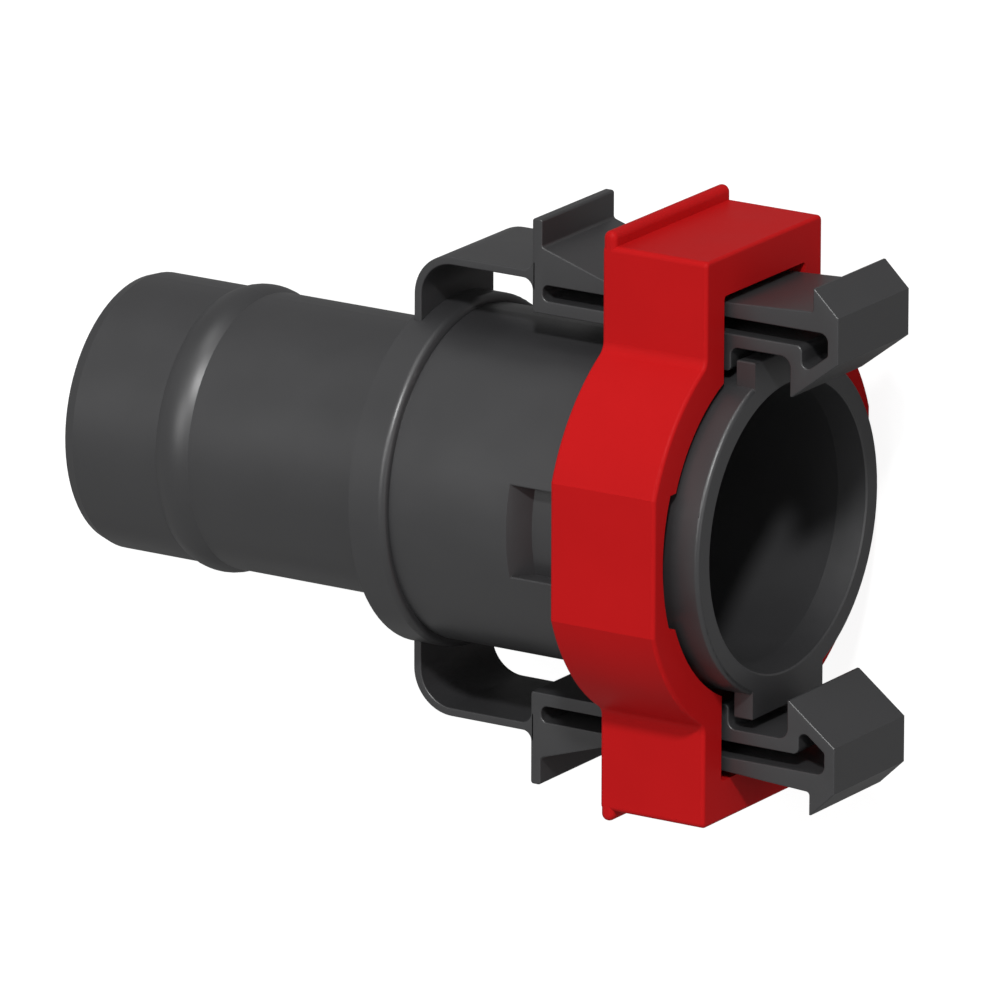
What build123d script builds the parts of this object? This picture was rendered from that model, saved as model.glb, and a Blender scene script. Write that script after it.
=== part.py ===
"""Plastic quick disconnect coupling for a 38 mm hose.

A moulded body carries a hose tail behind and a socket in front. Two sprung latch
levers, one on each side, rock on the body just behind the rim: pressing their fins
inwards lifts the hooks ahead of the mouth. A red lock ring slides along the body,
with a window over each lever, and holds the levers shut when it is pushed forward.

X runs along the bore and out of the mouth, and the rim plane is X = 0. The latches
stand to the left and right, at +Y and -Y, and the ring's two flats face up and down.
"""

import os
from math import cos, radians, sin, sqrt

from build123d import *

os.makedirs("parts", exist_ok=True)

# Hose tail: a plain 38 mm tube with one low grip bead
tail_radius = 19.0
tail_wall = 2.4
tail_length = 49.3
tail_round = 1.0
tail_bore_chamfer = 0.6
bead_from_end = 15.0
bead_width = 5.2
bead_height = 0.75

# Socket: takes a 38 mm spigot and seals on an O-ring at its foot
spigot_radius = 19.0
socket_clearance = 0.25
socket_depth = 51.5
body_wall = 3.65
lead_in = 0.6
lead_in_depth = 4.2
rim_round = 0.6
mouth_chamfer = 0.2
shoulder_web = 2.5

# Collar ring round the foot of the socket
collar_width = 5.6
collar_step = 1.2
collar_round = 1.0

# Seal: a round cord in a gland at the foot of the socket
seal_cord = 3.0
seal_squeeze = 0.5
seal_clearance = 0.05
gland_width = 3.5

# Blocks on the rim, which the latch legs stand behind
block_length = 2.85
block_width = 17.7
block_height = 1.75
block_round = 0.25
block_root = 2.3

# Pockets in the body's two sides, which guide the ring's keys
pocket_wall = 1.05
pocket_height = 12.6
pocket_lip = 0.8
pocket_front = 5.6
pocket_rear = 29.9
pocket_slope = 1.3
pocket_overcut = 1.0

# Latch levers: heights are stacked outwards from the body, stations run from the rim
latch_width = 18.0
latch_gap = 3.38
lower_beam = 1.84
slot_height = 2.18
waist_beam = 1.65
latch_tail = 34.75
fin_thickness = 1.55
fin_height = 7.3
fin_round = 0.4
fin_foot_fillet = 0.5
ramp_rise = 3.48
ramp_angle = 17.77
waist_end = 12.0
head_rise = 1.1
head_front = 12.8
barb_back = 3.9
barb_land = 0.25
barb_height = 3.15
barb_slope = 3.5
barb_fillet = 0.5
flange_thickness = 5.2
hook_clearance = 0.22
hook_wall = 1.8
hook_drop = 2.3
hook_lift = 3.4
hook_tip = 0.3
nose_wall = 1.65
slant_wall = 1.73
leg_gap = 0.89
leg_thickness = 1.8
foot_flat = 0.4
foot_clearance = 0.05
pocket_fillet = 1.5
leg_fillet = 1.1
slot_fillet = 1.2
beam_round = 0.6
core_round = 0.9
tail_corner = 0.4
slot_end_flat = 0.4

# Spring straps: each runs from the collar, round a bend, to its latch
strap_thickness = 1.15
strap_rise = 0.05
strap_inset = 0.6
strap_bend = 6.0
strap_root = 3.1
strap_fit = 0.02
strap_top_fillet = 1.3
strap_under_fillet = 1.5

# Lock ring
ring_length = 16.25
ring_setback = 4.05
ring_float = 0.95
ring_wall = 4.95
ring_flat = 27.2
window_side_gap = 1.15
window_gap = 1.5
box_wall = 4.35
box_roof = 5.55
window_round = 0.5
box_root_fillet = 1.8
box_round = 0.75
ring_edge = 0.5
relief_depth = 1.25
relief_height = 18.7
key_length = 2.0
key_clearance = 0.3
key_lead = 1.0
key_root = 0.7
grip_radius = 1.0
grip_round = 0.75
grip_foot = 1.0
left_grip_rise = 1.0
right_grip_rise = 0.5

# Two sizes count as the same within this much, where edges and faces are chosen by size
same_size = 0.01

# Radii worked out from the values above
socket_radius = spigot_radius + socket_clearance
mouth_radius = socket_radius + lead_in
body_radius = socket_radius + body_wall
collar_radius = body_radius + collar_step
tail_bore = tail_radius - tail_wall
seal_inner = spigot_radius - seal_squeeze
seal_radius = seal_inner + seal_cord / 2
gland_radius = seal_inner + seal_cord + seal_clearance
block_top = body_radius + block_height
ring_bore = body_radius + ring_float
ring_radius = ring_bore + ring_wall
relief_radius = ring_bore + relief_depth
pocket_floor = socket_radius + pocket_wall

# Stations along the bore
collar_rear = -(socket_depth + shoulder_web)
collar_front = collar_rear + collar_width
tail_end = collar_rear - tail_length
bead_rear = tail_end + bead_from_end
bead_front = bead_rear + bead_width
gland_front = -socket_depth + gland_width
ring_front = -ring_setback
ring_rear = ring_front - ring_length

# Latch levels, outwards from the bore axis
beam_bottom = body_radius + latch_gap
slot_floor = beam_bottom + lower_beam
slot_ceiling = slot_floor + slot_height
waist_top = slot_ceiling + waist_beam
fin_top = waist_top + fin_height
ramp_top = waist_top + ramp_rise
head_top = waist_top + head_rise
barb_top = head_top + barb_height
window_top = waist_top + window_gap
box_top = window_top + box_roof
foot_level = body_radius + foot_clearance
hook_low = foot_level - hook_drop
hook_root = foot_level + hook_lift
strap_top = waist_top + strap_rise

# Latch stations
hook_face = flange_thickness + hook_clearance
leg_front = -block_length - leg_gap
fin_front = -latch_tail + fin_thickness
ramp_foot = fin_front + ramp_rise * cos(radians(ramp_angle)) / sin(radians(ramp_angle))
barb_rear = head_front - barb_back
hook_slope = (hook_root - hook_low) / (head_front - hook_face)
strap_rear = collar_rear + strap_inset
strap_under = strap_top - strap_thickness
slot_front = head_front - nose_wall
slot_back = -latch_tail + nose_wall
slot_leg_back = hook_face + hook_wall

# Widths across the ring
window_width = latch_width + 2 * window_side_gap
box_width = window_width + 2 * box_wall
key_width = pocket_height - 2 * key_clearance
key_tip = pocket_floor + key_clearance
key_rear = ring_rear + key_clearance


def corner(sketch, x, y):
    """The sketch's corner nearest to a point."""
    return sketch.vertices().sort_by_distance((x, y, 0))[0]


def circle_at(part, x, radius):
    """The circular edges of a turned part at one station and radius."""
    circles = part.edges().filter_by(GeomType.CIRCLE).filter_by(lambda e: abs(e.radius - radius) < same_size)
    return circles.filter_by(lambda e: abs(e.arc_center.X - x) < same_size)


def slant(x):
    """Height of the hook's slanted underside at a station."""
    return hook_low + hook_slope * (x - hook_face)


# The space of both side pockets: a turned groove with a sloped rear end, kept between two planes
with BuildPart() as pockets:
    with BuildSketch(Plane.XY):
        with BuildLine():
            Polyline(
                (-pocket_front, pocket_floor),
                (-pocket_front, body_radius + pocket_overcut),
                (-pocket_rear - pocket_overcut, body_radius + pocket_overcut),
                (-pocket_rear, body_radius),
                (-pocket_rear + pocket_slope, pocket_floor),
                close=True,
            )
        make_face()
    revolve(axis=Axis.X)
    with BuildSketch(Plane.XY):
        with Locations((-pocket_front, 0)):
            Rectangle(pocket_rear + pocket_overcut, pocket_height, align=(Align.MAX, Align.CENTER))
    extrude(amount=collar_radius, both=True, mode=Mode.INTERSECT)

# Body: the tail, collar and socket turned as one wall, with blocks, pockets and strap slots
with BuildPart() as coupling_body:
    with BuildSketch(Plane.XY):
        with BuildLine():
            Polyline(
                (bead_rear, tail_radius),
                (tail_end, tail_radius),
                (tail_end, tail_bore),
                (-socket_depth, tail_bore),
                (-socket_depth, gland_radius),
                (gland_front, gland_radius),
                (gland_front, socket_radius),
                (-lead_in_depth, socket_radius),
                (0, mouth_radius),
                (0, body_radius),
                (collar_front, body_radius),
                (collar_front, collar_radius),
                (collar_rear, collar_radius),
                (collar_rear, tail_radius),
                (bead_front, tail_radius),
            )
            ThreePointArc(
                (bead_front, tail_radius),
                ((bead_front + bead_rear) / 2, tail_radius + bead_height),
                (bead_rear, tail_radius),
            )
        make_face()
    revolve(axis=Axis.X)
    fillet(circle_at(coupling_body, tail_end, tail_radius), tail_round)
    fillet(circle_at(coupling_body, collar_front, collar_radius), collar_round)
    fillet(circle_at(coupling_body, 0, body_radius), rim_round)
    chamfer(circle_at(coupling_body, 0, mouth_radius), mouth_chamfer)
    chamfer(circle_at(coupling_body, tail_end, tail_bore), tail_bore_chamfer)

    # Rim blocks at both latches, flush with the rim
    with BuildSketch(Plane.XY):
        with Locations((-block_length, body_radius - block_root)):
            Rectangle(block_length, block_height + block_root, align=(Align.MIN, Align.MIN))
        mirror(about=Plane.XZ)
    extrude(amount=block_width / 2, both=True)
    block_faces = coupling_body.faces().filter_by(Axis.Y).filter_by(lambda f: abs(f.center().Y) > body_radius)
    fillet(block_faces.edges(), block_round)

    # Side pockets, with their long edges rounded
    add(pockets.part, mode=Mode.SUBTRACT)
    side_faces = coupling_body.faces().filter_by(Axis.Y)
    pocket_sides = side_faces.filter_by(lambda f: abs(abs(f.center().Y) - pocket_height / 2) < same_size)
    pocket_edges = pocket_sides.edges().filter_by(Axis.X)
    fillet(pocket_edges.filter_by(lambda e: abs(e.center().Z) > pocket_floor + pocket_lip), pocket_lip)

    # Slots in the collar for the feet of the straps
    with BuildSketch(Plane.XY):
        with Locations((strap_rear - strap_fit, collar_radius - strap_root - strap_fit)):
            Rectangle(
                strap_thickness + 2 * strap_fit,
                strap_root + collar_step,
                align=(Align.MIN, Align.MIN),
            )
        mirror(about=Plane.XZ)
    extrude(amount=latch_width / 2 + strap_fit, both=True, mode=Mode.SUBTRACT)
coupling_body.part.label = "coupling_body"

# Seal: one O-ring, a little smaller inside than the spigot that it grips
with BuildPart() as socket_seal:
    with BuildSketch(Plane.XY):
        with Locations((-socket_depth + gland_width / 2, seal_radius)):
            Circle(seal_cord / 2)
    revolve(axis=Axis.X)
socket_seal.part.label = "socket_seal"

# Latch: fin, ramp and barbed head on two beams, cored out so that every wall is thin.
# Its leg stands on the body behind the rim block and its hook hangs ahead of the mouth.
with BuildPart() as left_latch:
    with BuildSketch(Plane.XY) as outline:
        with BuildLine():
            Polyline(
                (-latch_tail, beam_bottom),
                (-latch_tail, fin_top),
                (fin_front, fin_top),
                (fin_front, ramp_top),
                (ramp_foot, waist_top),
                (-waist_end, waist_top),
                (barb_rear, head_top),
                (barb_rear, barb_top),
                (barb_rear + barb_land, barb_top),
                (head_front, barb_top - barb_slope),
                (head_front, hook_root),
                (hook_face + hook_tip, slant(hook_face + hook_tip)),
                (hook_face, slant(hook_face + hook_tip)),
                (hook_face, beam_bottom),
                (leg_front, beam_bottom),
                (leg_front, foot_level),
                (leg_front - leg_thickness, foot_level),
                (leg_front - leg_thickness, beam_bottom),
                close=True,
            )
        make_face()
        fillet(corner(outline, -latch_tail, beam_bottom), tail_corner)
        fillet(corner(outline, -latch_tail, fin_top), fin_round)
        fillet(corner(outline, fin_front, fin_top), fin_round)
        fillet(corner(outline, fin_front, ramp_top), fin_foot_fillet)
        fillet(corner(outline, barb_rear, head_top), barb_fillet)
        fillet(corner(outline, hook_face, beam_bottom), pocket_fillet)
        fillet(corner(outline, leg_front, beam_bottom), leg_fillet)
        fillet(corner(outline, leg_front - leg_thickness, beam_bottom), leg_fillet)
        foot_round = (leg_thickness - foot_flat) / 2
        fillet(corner(outline, leg_front, foot_level), foot_round)
        fillet(corner(outline, leg_front - leg_thickness, foot_level), foot_round)
        with BuildSketch(mode=Mode.SUBTRACT) as core:
            with BuildLine():
                slant_low = slant(slot_leg_back) + slant_wall * sqrt(1 + hook_slope**2)
                slant_high = slant(slot_front) + slant_wall * sqrt(1 + hook_slope**2)
                Polyline(
                    (slot_back, slot_ceiling),
                    (slot_front, slot_ceiling),
                    (slot_front, slant_high),
                    (slot_leg_back, slant_low),
                    (slot_leg_back, slot_floor),
                    (slot_back, slot_floor),
                    close=True,
                )
            make_face()
            fillet(corner(core, slot_back, slot_ceiling), (slot_height - slot_end_flat) / 2)
            fillet(corner(core, slot_back, slot_floor), (slot_height - slot_end_flat) / 2)
            fillet(corner(core, slot_front, slot_ceiling), slot_fillet)
            fillet(corner(core, slot_front, slant_high), beam_round)
            fillet(corner(core, slot_leg_back, slant_low), core_round)
            fillet(corner(core, slot_leg_back, slot_floor), core_round)
    extrude(amount=latch_width / 2, both=True)
left_latch.part.label = "left_latch"

# Strap: up from the collar, round the bend and along to the back of the latch, where it flares
with BuildPart() as left_strap:
    with BuildSketch(Plane.XY) as ribbon:
        with BuildLine():
            Polyline(
                (-latch_tail - strap_top_fillet, strap_top),
                (strap_rear, strap_top),
                (strap_rear, collar_radius - strap_root),
                (strap_rear + strap_thickness, collar_radius - strap_root),
                (strap_rear + strap_thickness, strap_under),
                (-latch_tail - strap_under_fillet, strap_under),
            )
            TangentArc(
                (-latch_tail - strap_under_fillet, strap_under),
                (-latch_tail, strap_under - strap_under_fillet),
                tangent=(1, 0),
            )
            Line((-latch_tail, strap_under - strap_under_fillet), (-latch_tail, strap_top + strap_top_fillet))
            TangentArc(
                (-latch_tail - strap_top_fillet, strap_top),
                (-latch_tail, strap_top + strap_top_fillet),
                tangent=(1, 0),
            )
        make_face()
        fillet(corner(ribbon, strap_rear, strap_top), strap_bend)
        fillet(
            corner(ribbon, strap_rear + strap_thickness, strap_under),
            strap_bend - strap_thickness,
        )
    extrude(amount=latch_width / 2, both=True)
left_strap.part.label = "left_strap"

with BuildPart() as right_latch:
    mirror(left_latch.part, about=Plane.XZ)
right_latch.part.label = "right_latch"

with BuildPart() as right_strap:
    mirror(left_strap.part, about=Plane.XZ)
right_strap.part.label = "right_strap"

# Finger grips: a bead as wide as the box, standing on its rear edge, with rounded ends
with BuildPart() as left_grip:
    with BuildSketch(Plane.XY):
        with Locations((ring_rear + grip_radius, box_top + left_grip_rise)):
            Circle(grip_radius)
        with Locations((ring_rear, box_top + left_grip_rise)):
            Rectangle(2 * grip_radius, left_grip_rise + grip_foot, align=(Align.MIN, Align.MAX))
    extrude(amount=box_width / 2, both=True)
    grip_ends = left_grip.faces().filter_by(Axis.Z).edges()
    fillet(grip_ends.filter_by(lambda e: e.center().Y > box_top), grip_round)

with BuildPart() as right_grip:
    with BuildSketch(Plane.XY):
        with Locations((ring_rear + grip_radius, -box_top - right_grip_rise)):
            Circle(grip_radius)
        with Locations((ring_rear, -box_top - right_grip_rise)):
            Rectangle(2 * grip_radius, right_grip_rise + grip_foot, align=(Align.MIN, Align.MIN))
    extrude(amount=box_width / 2, both=True)
    grip_ends = right_grip.faces().filter_by(Axis.Z).edges()
    fillet(grip_ends.filter_by(lambda e: e.center().Y < -box_top), grip_round)

# Lock ring: a round sleeve with flats above and below and a box over each latch
with BuildPart() as lock_ring:
    # Sleeve and boxes, rounded along the boxes' corners and round both end faces
    with BuildSketch(Plane.YZ.offset(ring_rear)) as section:
        Circle(ring_radius)
        Rectangle(2 * ring_radius, 2 * ring_flat, mode=Mode.INTERSECT)
        Rectangle(2 * box_top, box_width)
        box_root = sqrt(ring_radius**2 - (box_width / 2) ** 2)
        fillet(corner(section, box_root, box_width / 2), box_root_fillet)
        fillet(corner(section, box_root, -box_width / 2), box_root_fillet)
        fillet(corner(section, -box_root, box_width / 2), box_root_fillet)
        fillet(corner(section, -box_root, -box_width / 2), box_root_fillet)
    extrude(amount=ring_length)
    long_edges = lock_ring.edges().filter_by(Axis.X)
    fillet(long_edges.filter_by(lambda e: abs(e.center().Y) > box_top - box_round), box_round)
    fillet(lock_ring.faces().filter_by(Axis.X).edges(), ring_edge)
    add([left_grip.part, right_grip.part])

    # Bore, and the two windows that open straight into it
    with BuildSketch(Plane.YZ.offset(ring_rear)):
        Circle(ring_bore)
        RectangleRounded(2 * window_top, window_width, window_round)
    extrude(amount=ring_length, mode=Mode.SUBTRACT)

    # Relief inside each flat, which lets the thin wall bow when the ring is snapped on
    with BuildSketch(Plane.YZ.offset(key_rear + key_length)):
        Circle(relief_radius)
        Rectangle(relief_height, 2 * relief_radius, mode=Mode.INTERSECT)
    extrude(amount=ring_length, mode=Mode.SUBTRACT)

    # Keys that run in the body's side pockets, with a lead on the side that goes on first
    with BuildSketch(Plane.XZ):
        with BuildLine():
            Polyline(
                (key_rear, ring_bore + key_root),
                (key_rear, key_tip + key_lead),
                (key_rear + key_lead, key_tip),
                (key_rear + key_length, key_tip),
                (key_rear + key_length, ring_bore + key_root),
                close=True,
            )
        make_face()
        mirror(about=Plane.XZ)
    extrude(amount=key_width / 2, both=True)
lock_ring.part.label = "lock_ring"

export_step(coupling_body.part, "parts/coupling_body.step")
export_step(socket_seal.part, "parts/socket_seal.step")
export_step(left_latch.part, "parts/left_latch.step")
export_step(right_latch.part, "parts/right_latch.step")
export_step(left_strap.part, "parts/left_strap.step")
export_step(right_strap.part, "parts/right_strap.step")
export_step(lock_ring.part, "parts/lock_ring.step")
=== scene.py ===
# %% [markdown]
# # A plastic quick disconnect coupling
#
# This coupling joins a hose to a pipe end without tools. A black moulded body has a hose
# tail behind and a socket in front. Two sprung latches, left and right of the mouth, hook
# over a flange, and a red ring slides along the body to lock them.
#
# The solids come ready made from the CAD frame, in metres, and are never moved here. This
# file sets up the view, gives every piece its finish, refines some edges of the body, and
# rebuilds the pieces whose soft rims the eye catches: the latches and their spring straps.

# %% Load the frame
import math

import bmesh
import bpy
from mathutils import Matrix, Vector


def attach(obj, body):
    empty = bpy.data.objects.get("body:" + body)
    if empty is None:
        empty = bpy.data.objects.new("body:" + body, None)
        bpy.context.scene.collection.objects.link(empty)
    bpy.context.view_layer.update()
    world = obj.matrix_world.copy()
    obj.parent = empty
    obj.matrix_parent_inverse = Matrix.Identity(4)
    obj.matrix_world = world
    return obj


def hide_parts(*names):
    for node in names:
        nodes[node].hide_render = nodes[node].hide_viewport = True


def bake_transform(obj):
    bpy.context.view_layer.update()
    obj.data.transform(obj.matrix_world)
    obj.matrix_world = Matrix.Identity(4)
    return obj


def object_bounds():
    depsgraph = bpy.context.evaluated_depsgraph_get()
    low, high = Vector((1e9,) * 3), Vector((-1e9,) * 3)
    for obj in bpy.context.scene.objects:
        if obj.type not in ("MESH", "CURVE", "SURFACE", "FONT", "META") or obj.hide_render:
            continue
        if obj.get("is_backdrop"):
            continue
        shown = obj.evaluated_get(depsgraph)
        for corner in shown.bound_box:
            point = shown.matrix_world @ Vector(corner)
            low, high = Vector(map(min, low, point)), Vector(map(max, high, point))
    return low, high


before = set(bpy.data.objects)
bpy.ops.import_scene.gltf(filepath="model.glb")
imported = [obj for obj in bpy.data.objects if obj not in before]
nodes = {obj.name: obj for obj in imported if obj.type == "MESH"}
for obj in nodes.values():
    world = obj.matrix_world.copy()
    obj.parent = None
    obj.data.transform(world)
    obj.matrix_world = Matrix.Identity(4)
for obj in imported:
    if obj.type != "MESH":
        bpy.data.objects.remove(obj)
start_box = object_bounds()
scene = bpy.context.scene
MM = 0.001
print("nodes", sorted(nodes))
print("box in mm", [[round(v / MM, 2) for v in corner] for corner in start_box])

# %% [markdown]
# ## The view
#
# The part lies on a flat of its ring, as it would on a bench, so the frame has Z up through
# that flat and the latches point sideways, along Y. The photograph shows it with the latches
# upright. The camera is therefore worked out for the upright part and then turned with it:
# a direction (x, y, z) of the upright part is (x, z, -y) in the frame.
#
# The lens is long, which keeps the far and near latches almost the same size. The distance
# and the focal length in pixels were found from the ellipses of the mouth and the collar,
# and the mouth's centre is then put on its own pixel.

# %% Camera
VIEW_AZIMUTH = math.radians(32.55)
VIEW_ELEVATION = math.radians(16.45)
VIEW_ROLL = math.radians(0.16)
VIEW_DISTANCE = 2.102
FOCAL_PIXELS = 15862
PICTURE_PIXELS = 1000
MOUTH_PIXEL = (789.09, 526.67)
SENSOR_WIDTH = 36
CLIP_NEAR, CLIP_FAR = 0.05, 20


def upright_to_frame(v):
    """Turn a direction of the upright part into the frame, where the part lies on its flat."""
    return Vector((v.x, v.z, -v.y))


def view_axes():
    """The camera's right, up and back directions in the frame."""
    right = Vector((math.cos(VIEW_AZIMUTH), math.sin(VIEW_AZIMUTH), 0))
    back = Vector(
        (
            math.sin(VIEW_AZIMUTH) * math.cos(VIEW_ELEVATION),
            -math.cos(VIEW_AZIMUTH) * math.cos(VIEW_ELEVATION),
            math.sin(VIEW_ELEVATION),
        )
    )
    up = back.cross(right)
    rolled_right = math.cos(VIEW_ROLL) * right + math.sin(VIEW_ROLL) * up
    rolled_up = math.cos(VIEW_ROLL) * up - math.sin(VIEW_ROLL) * right
    return [upright_to_frame(v) for v in (rolled_right, rolled_up, back)]


right, up, back = view_axes()
pixel = VIEW_DISTANCE / FOCAL_PIXELS
across = (MOUTH_PIXEL[0] - PICTURE_PIXELS / 2) * pixel
down = (MOUTH_PIXEL[1] - PICTURE_PIXELS / 2) * pixel
lens = bpy.data.cameras.new("view")
lens.sensor_width = SENSOR_WIDTH
lens.lens = FOCAL_PIXELS / PICTURE_PIXELS * SENSOR_WIDTH
lens.clip_start, lens.clip_end = CLIP_NEAR, CLIP_FAR
camera = bpy.data.objects.new("view", lens)
place = back * VIEW_DISTANCE - right * across + up * down
camera.matrix_world = Matrix.Translation(place) @ Matrix((right, up, back)).transposed().to_4x4()
scene.collection.objects.link(camera)
scene.camera = camera
print("camera at", [round(v, 3) for v in place], "lens", round(lens.lens), "mm")

# %% [markdown]
# ## Floor, backdrop and light
#
# The photograph is flatly lit on pure white. A floor that is really that bright would throw
# light up on to the black plastic and wash it out. So the floor and the world are white
# only where the camera looks straight at them, by Light Path's Is Camera Ray, and dim to
# every other ray. The floor mixes a plain diffuse surface into its white, which keeps the
# soft shadow under the part.
#
# Shader and geometry trees are built with one helper, which adds a node and fills in its
# attributes and sockets by name.

# %% Helper for node trees
def add_node(tree, kind, **values):
    """Add a node and set its attributes, and its sockets where the name isn't an attribute."""
    node = tree.nodes.new(kind)
    for name, value in values.items():
        if hasattr(node, name):
            setattr(node, name, value)
        else:
            node.inputs[name.replace("_", " ")].default_value = value
    return node


# %% World
WORLD_DIM = 0.36
WHITE = (1, 1, 1, 1)

scene.view_settings.view_transform = "Standard"
world = bpy.data.worlds.new("white_room")
scene.world = world
world.use_nodes = True
tree = world.node_tree
tree.nodes.clear()
path = add_node(tree, "ShaderNodeLightPath")
dim = add_node(tree, "ShaderNodeBackground", Color=WHITE, Strength=WORLD_DIM)
white = add_node(tree, "ShaderNodeBackground", Color=WHITE, Strength=1.0)
choice = add_node(tree, "ShaderNodeMixShader")
output = add_node(tree, "ShaderNodeOutputWorld")
tree.links.new(path.outputs["Is Camera Ray"], choice.inputs[0])
tree.links.new(dim.outputs[0], choice.inputs[1])
tree.links.new(white.outputs[0], choice.inputs[2])
tree.links.new(choice.outputs[0], output.inputs["Surface"])
print("world: white to the camera,", WORLD_DIM, "to the rest")

# %% [markdown]
# Four suns light the part. The key lamp is narrow, and its direction was read from the
# shadow that the upper latch and the rim throw into the bore. The other three are wide and
# faint, and stand in for a bright room: from above, from the near side and from in front.

# %% Lamps
KEY_DEGREES = 5
FILL_DEGREES = 30
LAMPS = [
    {"name": "key", "toward": (0.36, 0.69, 0.62), "strength": 1.95, "degrees": KEY_DEGREES},
    {"name": "top", "toward": (0.0, 1.0, 0.15), "strength": 0.45, "degrees": FILL_DEGREES},
    {"name": "near_side", "toward": (0.0, 0.3, 0.95), "strength": 0.75, "degrees": FILL_DEGREES},
    {"name": "front", "toward": (0.95, 0.1, 0.3), "strength": 0.25, "degrees": FILL_DEGREES},
]


def add_lamp(name, toward, strength, degrees):
    """A sun that shines from the given direction of the frame."""
    data = bpy.data.lights.new(name, "SUN")
    data.energy = strength
    data.angle = math.radians(degrees)
    sun = bpy.data.objects.new(name, data)
    sun.rotation_mode = "QUATERNION"
    sun.rotation_quaternion = Vector(toward).to_track_quat("Z", "Y")
    scene.collection.objects.link(sun)
    print("lamp", name, strength)


for values in LAMPS:
    add_lamp(**values)

# %% [markdown]
# The floor lies under the ring's flat and belongs to the stage, not to the part. Its glow
# and the light on its grey add up to white, and fall a little short of it in the shadow.

# %% Floor
FLOOR_HALF = 3.0
FLOOR_GREY = 0.25
FLOOR_GLOW = 0.9

mesh = bpy.data.meshes.new("floor")
level = start_box[0].z
corners = [(-1, -1), (1, -1), (1, 1), (-1, 1)]
points = [(x * FLOOR_HALF, y * FLOOR_HALF, level) for x, y in corners]
mesh.from_pydata(points, [], [range(len(points))])
floor = bpy.data.objects.new("floor", mesh)
scene.collection.objects.link(floor)
floor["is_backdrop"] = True

paper = bpy.data.materials.new("white_paper")
paper.use_nodes = True
tree = paper.node_tree
tree.nodes.clear()
path = add_node(tree, "ShaderNodeLightPath")
matt = add_node(tree, "ShaderNodeBsdfDiffuse", Color=(FLOOR_GREY, FLOOR_GREY, FLOOR_GREY, 1))
glow = add_node(tree, "ShaderNodeEmission", Color=WHITE, Strength=FLOOR_GLOW)
lit = add_node(tree, "ShaderNodeAddShader")
choice = add_node(tree, "ShaderNodeMixShader")
output = add_node(tree, "ShaderNodeOutputMaterial")
tree.links.new(matt.outputs[0], lit.inputs[0])
tree.links.new(glow.outputs[0], lit.inputs[1])
tree.links.new(path.outputs["Is Camera Ray"], choice.inputs[0])
tree.links.new(matt.outputs[0], choice.inputs[1])
tree.links.new(lit.outputs[0], choice.inputs[2])
tree.links.new(choice.outputs[0], output.inputs["Surface"])
mesh.materials.append(paper)
print("floor at", round(level / MM, 2), "mm")

# %% [markdown]
# ## Finishes
#
# Body, latches and straps are one glass-filled nylon, a charcoal black with a satin
# skin. The ring is a smooth acetal, a saturated red with very little gloss. The O-ring
# is nitrile rubber, blacker and duller than both.
#
# All three are moulded, so one function makes them. Two noises in Object coordinates give
# what a mould gives: a fine grain, which only bumps the surface, and a slow mottling from
# the flow of the melt, which shifts the colour and the gloss by a few percent. What is
# the same all over, such as the specular level, is set on the shader's own socket.

# %% Moulded materials
GRAIN_SIZE = 0.22 * MM
GRAIN_DEPTH = 0.004 * MM
GRAIN_DETAIL = 2.0
FLOW_SIZE = 9 * MM
FLOW_DETAIL = 3.0
NOISE_LOW, NOISE_HIGH = 0.3, 0.7


def spread(tree, source, low, high):
    """Stretch a noise's middle range over low to high."""
    node = add_node(tree, "ShaderNodeMapRange")
    node.inputs["From Min"].default_value = NOISE_LOW
    node.inputs["From Max"].default_value = NOISE_HIGH
    node.inputs["To Min"].default_value = low
    node.inputs["To Max"].default_value = high
    tree.links.new(source, node.inputs["Value"])
    return node.outputs["Result"]


def moulded(name, colour, mottle, roughness, gloss_shift, specular, grain):
    """A moulded surface: a mottled colour, a drifting gloss and a fine grain."""
    material = bpy.data.materials.new(name)
    material.use_nodes = True
    tree = material.node_tree
    shader = tree.nodes["Principled BSDF"]
    shader.inputs["Specular IOR Level"].default_value = specular
    place = add_node(tree, "ShaderNodeTexCoord").outputs["Object"]

    flow = add_node(tree, "ShaderNodeTexNoise", Scale=1 / FLOW_SIZE, Detail=FLOW_DETAIL)
    tree.links.new(place, flow.inputs["Vector"])
    tint = add_node(tree, "ShaderNodeMixRGB")
    tint.inputs["Color1"].default_value = (*[c * (1 - mottle) for c in colour], 1)
    tint.inputs["Color2"].default_value = (*[c * (1 + mottle) for c in colour], 1)
    tree.links.new(spread(tree, flow.outputs["Fac"], 0, 1), tint.inputs["Fac"])
    tree.links.new(tint.outputs["Color"], shader.inputs["Base Color"])
    gloss = spread(tree, flow.outputs["Fac"], roughness - gloss_shift, roughness + gloss_shift)
    tree.links.new(gloss, shader.inputs["Roughness"])

    skin = add_node(tree, "ShaderNodeTexNoise", Scale=1 / GRAIN_SIZE, Detail=GRAIN_DETAIL)
    tree.links.new(place, skin.inputs["Vector"])
    bump = add_node(tree, "ShaderNodeBump", Strength=grain, Distance=GRAIN_DEPTH)
    tree.links.new(skin.outputs["Fac"], bump.inputs["Height"])
    tree.links.new(bump.outputs["Normal"], shader.inputs["Normal"])
    print("material", name)
    return material


black_plastic = moulded(
    "black_plastic",
    colour=(0.031, 0.031, 0.0325),
    mottle=0.04,
    roughness=0.40,
    gloss_shift=0.03,
    specular=0.80,
    grain=0.6,
)
red_plastic = moulded(
    "red_plastic",
    colour=(0.46, 0.0075, 0.0085),
    mottle=0.02,
    roughness=0.45,
    gloss_shift=0.03,
    specular=0.06,
    grain=0.4,
)
seal_rubber = moulded(
    "seal_rubber",
    colour=(0.012, 0.012, 0.012),
    mottle=0.10,
    roughness=0.62,
    gloss_shift=0.05,
    specular=0.4,
    grain=1.0,
)

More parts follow.
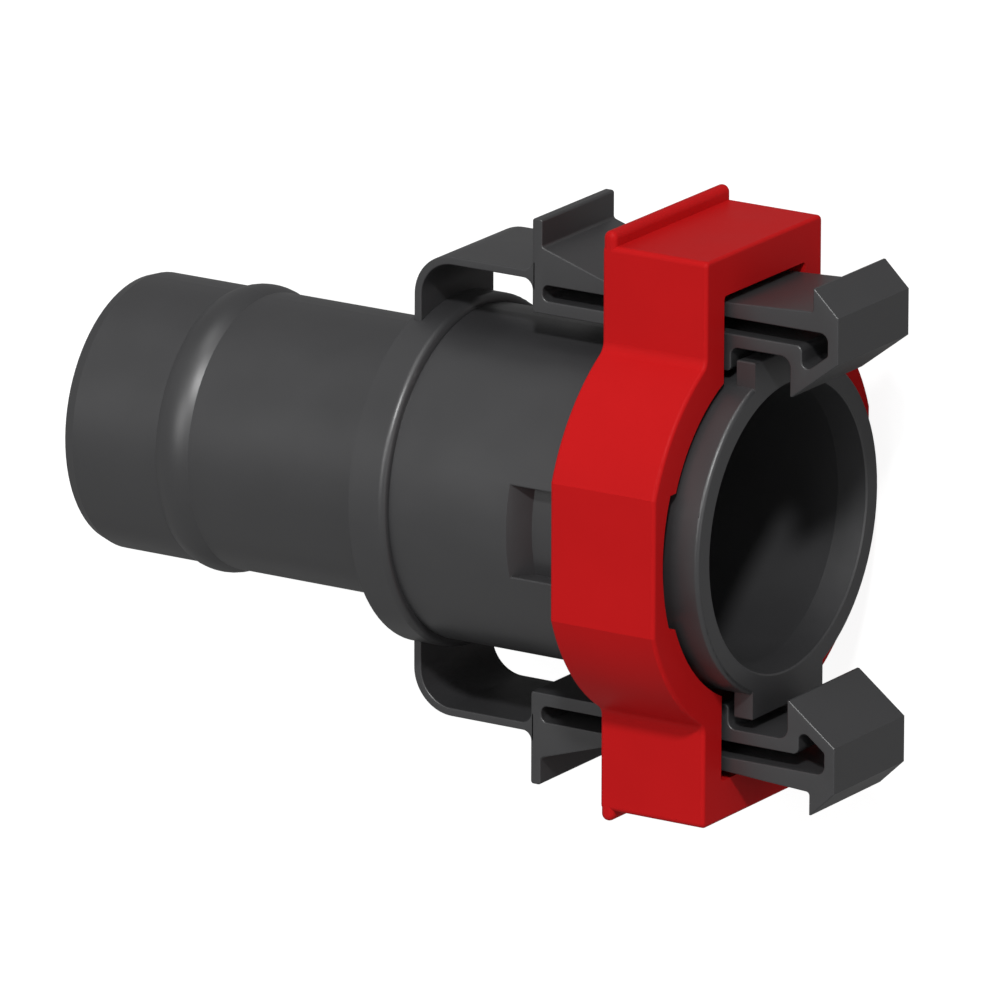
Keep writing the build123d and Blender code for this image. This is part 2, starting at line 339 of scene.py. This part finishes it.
# %% [markdown]
# ## Ring and seal
#
# The ring is a sleeve with two flats and two boxes, rounded at its corners, and the seal is
# a plain O-ring. The CAD meshes hold both at full smoothness, so they stay as they are, and
# their slots get the finishes.

# %% Finish the CAD pieces
FINISHES = {"lock_ring": red_plastic, "socket_seal": seal_rubber}


def finish(piece, material):
    """Give every slot of a piece one finish."""
    if not piece.material_slots:
        piece.data.materials.append(material)
    for slot in piece.material_slots:
        slot.material = material


for name, material in FINISHES.items():
    finish(nodes[name], material)
    print(name, "wears", material.name, len(nodes[name].data.polygons), "triangles")

# %% [markdown]
# ## Body
#
# The body is a turned form with a bead and a collar. Three of its details are finer than in
# the solid: the tail ends in a flat chamfer, the long edges of the side pockets are nearly
# sharp, and the pockets run out at the back in a gentler slope. Boolean cuts could make them,
# but they would leave long thin triangles that spoil the shading. Sliding the vertices that
# the solid has there is enough, so the body is a copy of the CAD mesh with those moved.
#
# A CAD mesh is loose triangles, so the copy's doubles are merged first. Its smooth normals
# are read before the merge and written back after it, which keeps the turned surfaces free
# of facets. The sizes of the tail, the pockets and their roundings are those of the solid.

# %% Copy a CAD node
FLAT_WITHIN = 0.001 * MM


def merged_copy(name, node):
    """A closed copy of a CAD node, and the normals of its corners."""
    mesh = node.data.copy()
    normals = [corner.vector.copy() for corner in mesh.corner_normals]
    bm = bmesh.new()
    bm.from_mesh(mesh)
    bmesh.ops.remove_doubles(bm, verts=bm.verts, dist=FLAT_WITHIN)
    open_edges = sum(not e.is_manifold for e in bm.edges)
    bm.to_mesh(mesh)
    bm.free()
    piece = bpy.data.objects.new(name, mesh)
    scene.collection.objects.link(piece)
    print(name, len(mesh.polygons), "triangles,", open_edges, "open edges")
    return piece, normals


def radius(v):
    """Distance of a point from the bore's axis."""
    return math.hypot(v.y, v.z)


body, body_normals = merged_copy("body_shell", nodes["coupling_body"])

# %% [markdown]
# The rounding at the tail's end becomes a cone. Its vertices are spread along the axis to the
# cone's length, and each takes the cone's radius at its place. The corners of its faces get
# the cone's normal, so that the chamfer is shaded as a straight band.

# %% Chamfer the tail
TAIL_END = start_box[0].x
TAIL_RADIUS = 19.0 * MM
TAIL_ROUND = 1.0 * MM
CHAMFER_LENGTH = 1.5 * MM
CHAMFER_DROP = 0.5 * MM

chamfer_tilt = math.atan2(CHAMFER_DROP, CHAMFER_LENGTH)
tail_edge = set()
for vert in body.data.vertices:
    at_end = vert.co.x < TAIL_END + TAIL_ROUND + FLAT_WITHIN
    outside = radius(vert.co) > TAIL_RADIUS - TAIL_ROUND - FLAT_WITHIN
    if at_end and outside:
        run = (vert.co.x - TAIL_END) / TAIL_ROUND
        share = (TAIL_RADIUS - CHAMFER_DROP * (1 - run)) / radius(vert.co)
        vert.co = (TAIL_END + CHAMFER_LENGTH * run, vert.co.y * share, vert.co.z * share)
        tail_edge.add(vert.index)
for face in body.data.polygons:
    if tail_edge.issuperset(face.vertices):
        for index in face.loop_indices:
            place = body.data.vertices[body.data.loops[index].vertex_index].co
            around = Vector((0, place.y, place.z)).normalized() * math.cos(chamfer_tilt)
            body_normals[index] = around - Vector((math.sin(chamfer_tilt), 0, 0))
print("tail chamfer of", len(tail_edge), "vertices")

# %% [markdown]
# A pocket's long edge is rounded about a line that runs along the body. The rounding's
# section is an arc from the pocket's side wall to the body's surface. It is scaled down
# towards the corner that it rounds, which keeps its normals true. Where it ends on the
# pocket's sloped rear end, its vertices follow the slope.

# %% Sharpen the pocket lips
BODY_RADIUS = 22.9 * MM
POCKET_HALF = 6.3 * MM
POCKET_REAR = -29.9 * MM
POCKET_DEPTH = 2.6 * MM
SOLID_SLOPE = 1.3 * MM
LIP_ROUND = 0.8 * MM
LIP_SHARE = 0.25
NEAR = 0.01 * MM


def slope_place(v, length):
    """Place along the axis, at a point's radius, of a pocket's rear slope of this length."""
    return POCKET_REAR + (BODY_RADIUS - radius(v)) / POCKET_DEPTH * length


corner_height = math.sqrt(BODY_RADIUS**2 - POCKET_HALF**2)
round_side = POCKET_HALF + LIP_ROUND
round_height = math.sqrt((BODY_RADIUS - LIP_ROUND) ** 2 - round_side**2)
surface_side = round_side * BODY_RADIUS / (BODY_RADIUS - LIP_ROUND)
sharpened = 0
for vert in body.data.vertices:
    across, height = abs(vert.co.y), abs(vert.co.z)
    off_round = math.hypot(across - round_side, height - round_height) - LIP_ROUND
    beside = POCKET_HALF - NEAR < across < surface_side + NEAR
    above = height > round_height - NEAR
    if abs(off_round) < NEAR and beside and above and vert.co.x > POCKET_REAR - NEAR:
        across = POCKET_HALF + LIP_SHARE * (across - POCKET_HALF)
        height = corner_height + LIP_SHARE * (height - corner_height)
        vert.co.y = math.copysign(across, vert.co.y)
        vert.co.z = math.copysign(height, vert.co.z)
        if vert.co.x < POCKET_REAR + SOLID_SLOPE:
            vert.co.x = slope_place(vert.co, SOLID_SLOPE)
        sharpened += 1
print("pocket lips of", sharpened, "vertices")

# %% [markdown]
# The rear slope is a cone as well, from the body's surface down to the pocket's floor. All
# the vertices on it slide along the axis until the slope has its new length. The corners
# there whose normals lean along the axis belong to the cone and get its new normal. The
# others belong to the floor, the walls and the body's surface.

# %% Stretch the pocket slopes
SLOPE_LENGTH = 2.4 * MM
LEANING = 0.5

slope_tilt = math.atan2(POCKET_DEPTH, SLOPE_LENGTH)
on_slope = set()
for vert in body.data.vertices:
    inside = abs(vert.co.y) < POCKET_HALF + LIP_ROUND
    deep = BODY_RADIUS - POCKET_DEPTH - NEAR < radius(vert.co) < BODY_RADIUS + NEAR
    if inside and deep and abs(vert.co.x - slope_place(vert.co, SOLID_SLOPE)) < NEAR:
        vert.co.x = slope_place(vert.co, SLOPE_LENGTH)
        on_slope.add(vert.index)
for corner in body.data.loops:
    if corner.vertex_index in on_slope and body_normals[corner.index].x > LEANING:
        place = body.data.vertices[corner.vertex_index].co
        around = Vector((0, place.y, place.z)).normalized() * math.cos(slope_tilt)
        body_normals[corner.index] = around + Vector((math.sin(slope_tilt), 0, 0))
print("pocket slopes of", len(on_slope), "vertices")

# %% [markdown]
# The body is shaded smooth with the kept normals and takes the place of its CAD node.

# %% Finish the body
body.data.shade_smooth()
body.data.normals_split_custom_set(body_normals)
finish(body, black_plastic)
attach(body, "body")
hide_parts("coupling_body")

# %% [markdown]
# ## Latches and straps
#
# Each latch is one moulding of constant section: a flat bar with a finger fin and a ramp
# behind the ring, and a cored, double-beamed head with a barb and a hook in front. The
# strap behind it has the same width. Both are a slab: an outline given a thickness.
#
# A moulded slab never has sharp rims, and the thin bright line along a rounded rim is what
# makes plastic look like plastic. So a Geometry Nodes tree sweeps a rim profile, a straight
# wall with a quarter circle at each end, round the outline, and closes both sides with
# faces that are filled inside the rim. The tree needs only the outline, the width and the
# rim's radius, and makes all four slabs.
#
# The outlines come from the CAD solids: the vertices that lie on one side face of a node,
# walked in order along that face's border, are exactly the outline and its core.

# %% Read an outline from a CAD node
def side_loops(node):
    """The closed loops that border the highest flat side of a node, each as ordered points."""
    bm = bmesh.new()
    bm.from_mesh(node.data)
    bmesh.ops.remove_doubles(bm, verts=bm.verts, dist=FLAT_WITHIN)
    top = max(v.co.z for v in bm.verts)
    flat = [f for f in bm.faces if all(top - v.co.z < FLAT_WITHIN for v in f.verts)]
    on_top = set(flat)
    follow = {}
    for face in flat:
        for loop in face.loops:
            if sum(f in on_top for f in loop.edge.link_faces) == 1:
                follow[loop.vert] = loop.link_loop_next.vert
    loops = []
    while follow:
        vert = next(iter(follow))
        points = []
        while vert in follow:
            points.append(vert.co.copy())
            vert = follow.pop(vert)
        loops.append(points)
    bm.free()
    return loops, top


for name in ("left_latch", "left_strap"):
    loops, half = side_loops(nodes[name])
    print(name, "loops of", [len(points) for points in loops], "points, half width", round(half / MM, 2))

# %% Tree that makes a slab from an outline
RIM_STEPS = 8


def calculate(tree, operation, *values):
    """Add a Math node, link or set its inputs, and return its result."""
    node = add_node(tree, "ShaderNodeMath", operation=operation)
    for socket, value in zip(node.inputs, values):
        if isinstance(value, bpy.types.NodeSocket):
            tree.links.new(value, socket)
        else:
            socket.default_value = value
    return node.outputs[0]


def slab_tree():
    """Geometry Nodes: a flat outline of edges becomes a slab with rounded rims."""
    tree = bpy.data.node_groups.new("moulded_slab", "GeometryNodeTree")
    face = tree.interface
    face.new_socket("Outline", in_out="INPUT", socket_type="NodeSocketGeometry")
    face.new_socket("Half Width", in_out="INPUT", socket_type="NodeSocketFloat")
    face.new_socket("Rim Radius", in_out="INPUT", socket_type="NodeSocketFloat")
    face.new_socket("Finish", in_out="INPUT", socket_type="NodeSocketMaterial")
    face.new_socket("Slab", in_out="OUTPUT", socket_type="NodeSocketGeometry")
    link = tree.links.new
    given = add_node(tree, "NodeGroupInput").outputs

    # The outline as a curve whose normals point sideways, out of the slab
    to_curve = add_node(tree, "GeometryNodeMeshToCurve")
    link(given["Outline"], to_curve.inputs["Mesh"])
    outline = add_node(tree, "GeometryNodeSetCurveNormal", mode="Z_UP")
    link(to_curve.outputs["Curve"], outline.inputs["Curve"])

    # The rim profile: a wall, and a quarter circle at each of its ends
    wall_top = calculate(tree, "SUBTRACT", given["Half Width"], given["Rim Radius"])
    wall_low = calculate(tree, "SUBTRACT", 0, wall_top)
    inset = calculate(tree, "SUBTRACT", 0, given["Rim Radius"])
    profile = add_node(tree, "GeometryNodeJoinGeometry")
    wall = add_node(tree, "GeometryNodeCurvePrimitiveLine")
    for end, height in (("Start", wall_low), ("End", wall_top)):
        point = add_node(tree, "ShaderNodeCombineXYZ")
        link(height, point.inputs["Y"])
        link(point.outputs[0], wall.inputs[end])
    link(wall.outputs["Curve"], profile.inputs[0])
    for height, sweep in ((wall_top, math.pi / 2), (wall_low, -math.pi / 2)):
        arc = add_node(tree, "GeometryNodeCurveArc", mode="RADIUS")
        arc.inputs["Resolution"].default_value = RIM_STEPS + 1
        arc.inputs["Start Angle"].default_value = 0
        arc.inputs["Sweep Angle"].default_value = sweep
        link(given["Rim Radius"], arc.inputs["Radius"])
        centre = add_node(tree, "ShaderNodeCombineXYZ")
        link(inset, centre.inputs["X"])
        link(height, centre.inputs["Y"])
        placed = add_node(tree, "GeometryNodeTransform")
        link(arc.outputs["Curve"], placed.inputs["Geometry"])
        link(centre.outputs[0], placed.inputs["Translation"])
        link(placed.outputs["Geometry"], profile.inputs[0])
    swept = add_node(tree, "GeometryNodeCurveToMesh")
    link(outline.outputs["Curve"], swept.inputs["Curve"])
    link(profile.outputs["Geometry"], swept.inputs["Profile Curve"])

    # The two flat sides, filled inside the rim
    slab = add_node(tree, "GeometryNodeJoinGeometry")
    link(swept.outputs["Mesh"], slab.inputs[0])
    shrink = add_node(tree, "ShaderNodeVectorMath", operation="SCALE")
    link(add_node(tree, "GeometryNodeInputNormal").outputs["Normal"], shrink.inputs[0])
    link(inset, shrink.inputs["Scale"])
    inner = add_node(tree, "GeometryNodeSetPosition")
    link(outline.outputs["Curve"], inner.inputs["Geometry"])
    link(shrink.outputs[0], inner.inputs["Offset"])
    filled = add_node(tree, "GeometryNodeFillCurve")
    link(inner.outputs["Geometry"], filled.inputs["Curve"])
    for height in (given["Half Width"], calculate(tree, "SUBTRACT", 0, given["Half Width"])):
        lift = add_node(tree, "ShaderNodeCombineXYZ")
        link(height, lift.inputs["Z"])
        side = add_node(tree, "GeometryNodeTransform")
        link(filled.outputs["Mesh"], side.inputs["Geometry"])
        link(lift.outputs[0], side.inputs["Translation"])
        link(side.outputs["Geometry"], slab.inputs[0])

    welded = add_node(tree, "GeometryNodeMergeByDistance")
    welded.inputs["Distance"].default_value = FLAT_WITHIN
    link(slab.outputs["Geometry"], welded.inputs["Geometry"])
    real = add_node(tree, "GeometryNodeRealizeInstances")
    link(welded.outputs["Geometry"], real.inputs["Geometry"])
    dressed = add_node(tree, "GeometryNodeSetMaterial")
    link(real.outputs["Geometry"], dressed.inputs["Geometry"])
    link(given["Finish"], dressed.inputs["Material"])
    result = add_node(tree, "NodeGroupOutput")
    link(dressed.outputs["Geometry"], result.inputs["Slab"])
    return tree


slab = slab_tree()
print("slab tree of", len(slab.nodes), "nodes")

# %% [markdown]
# ## Baking a tree's result
#
# The modifier's inputs are set by each socket's identifier, before the object is first
# evaluated. The evaluated result is then copied into a plain mesh and the modifier is
# dropped. The tree can leave its faces pointing either way, so the normals are worked out
# afresh once the doubles are merged. A closed mesh whose faces point outwards has no open
# edges and a volume above zero, and both are printed. Faces that meet at less than a chosen
# angle are shaded as one curve, which keeps real corners crisp and rims round.

# %% Bake a slab
CORNER_ANGLE = math.radians(14)
RIM_RADIUS = 0.2 * MM


def bake(name, outline_mesh, tree, **values):
    """Run a tree on a mesh and return its result as a plain object."""
    piece = bpy.data.objects.new(name, outline_mesh)
    scene.collection.objects.link(piece)
    modifier = piece.modifiers.new("shape", "NODES")
    modifier.node_group = tree
    for item in tree.interface.items_tree:
        key = item.name.replace(" ", "_").lower()
        if item.in_out == "INPUT" and key in values:
            modifier[item.identifier] = values[key]
    shape = piece.evaluated_get(bpy.context.evaluated_depsgraph_get())
    baked = bpy.data.meshes.new_from_object(shape)
    piece.modifiers.clear()
    piece.data = baked
    bm = bmesh.new()
    bm.from_mesh(baked)
    bmesh.ops.remove_doubles(bm, verts=bm.verts, dist=FLAT_WITHIN)
    bmesh.ops.recalc_face_normals(bm, faces=bm.faces)
    open_edges = sum(not e.is_manifold for e in bm.edges)
    volume = bm.calc_volume(signed=True) / MM**3
    bm.to_mesh(baked)
    bm.free()
    baked.shade_smooth()
    baked.set_sharp_from_angle(angle=CORNER_ANGLE)
    print(name, len(baked.polygons), "faces,", open_edges, "open edges,", round(volume), "mm3")
    return piece


def moulded_slab(name, loops, half, material):
    """Build a slab from its outline and cores, with rounded rims."""
    points = [(p.x, p.y, 0) for loop in loops for p in loop]
    edges = []
    for loop in loops:
        start = len(edges)
        edges += [(start + i, start + (i + 1) % len(loop)) for i in range(len(loop))]
    mesh = bpy.data.meshes.new(name)
    mesh.from_pydata(points, edges, [])
    return bake(name, mesh, slab, half_width=half, rim_radius=RIM_RADIUS, finish=material)


# %% [markdown]
# A latch rides on its own body, so it rocks with its joint. It replaces its CAD node.

# %% Latches
for side in ("left", "right"):
    loops, half = side_loops(nodes[side + "_latch"])
    latch = moulded_slab(side + "_latch_bar", loops, half, black_plastic)
    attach(latch, side + "_lever")
    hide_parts(side + "_latch")

# %% [markdown]
# ## Straps
#
# A strap flares where it runs into its lever, and the flare ends in two feather edges
# against the lever's back. A rim can't be rounded on a feather edge, so the band is carried
# half a millimetre into the lever, where the two are one moulding anyway.
#
# The band is baked in place, with its transform applied, and is not tied to the lever.

# %% Straps
STRAP_SEAT = 0.5 * MM


def seated(points):
    """Carry the flared front end of a strap's outline into its lever."""
    face = max(p.x for p in points)
    at_face = [p.x > face - FLAT_WITHIN for p in points]
    first = next(i for i, here in enumerate(at_face) if here and at_face[(i + 1) % len(points)])
    around = points[first + 1 :] + points[: first + 1]
    step = Vector((STRAP_SEAT, 0, 0))
    return around + [around[-1] + step, around[0] + step]


for side in ("left", "right"):
    (outline,), half = side_loops(nodes[side + "_strap"])
    strap = moulded_slab(side + "_strap_band", [seated(outline)], half, black_plastic)
    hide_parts(side + "_strap")
    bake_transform(strap)

# %% [markdown]
# ## Sizes
#
# The looks should not make the part any bigger, so the box at the end is set against the box at the
# start, corner by corner.

# %% Write both boxes and finish
end_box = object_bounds()
for name, before, after in zip(("low", "high"), start_box, end_box):
    print(name, "corner moved by", [round((b - a) / MM, 3) for a, b in zip(before, after)], "mm")
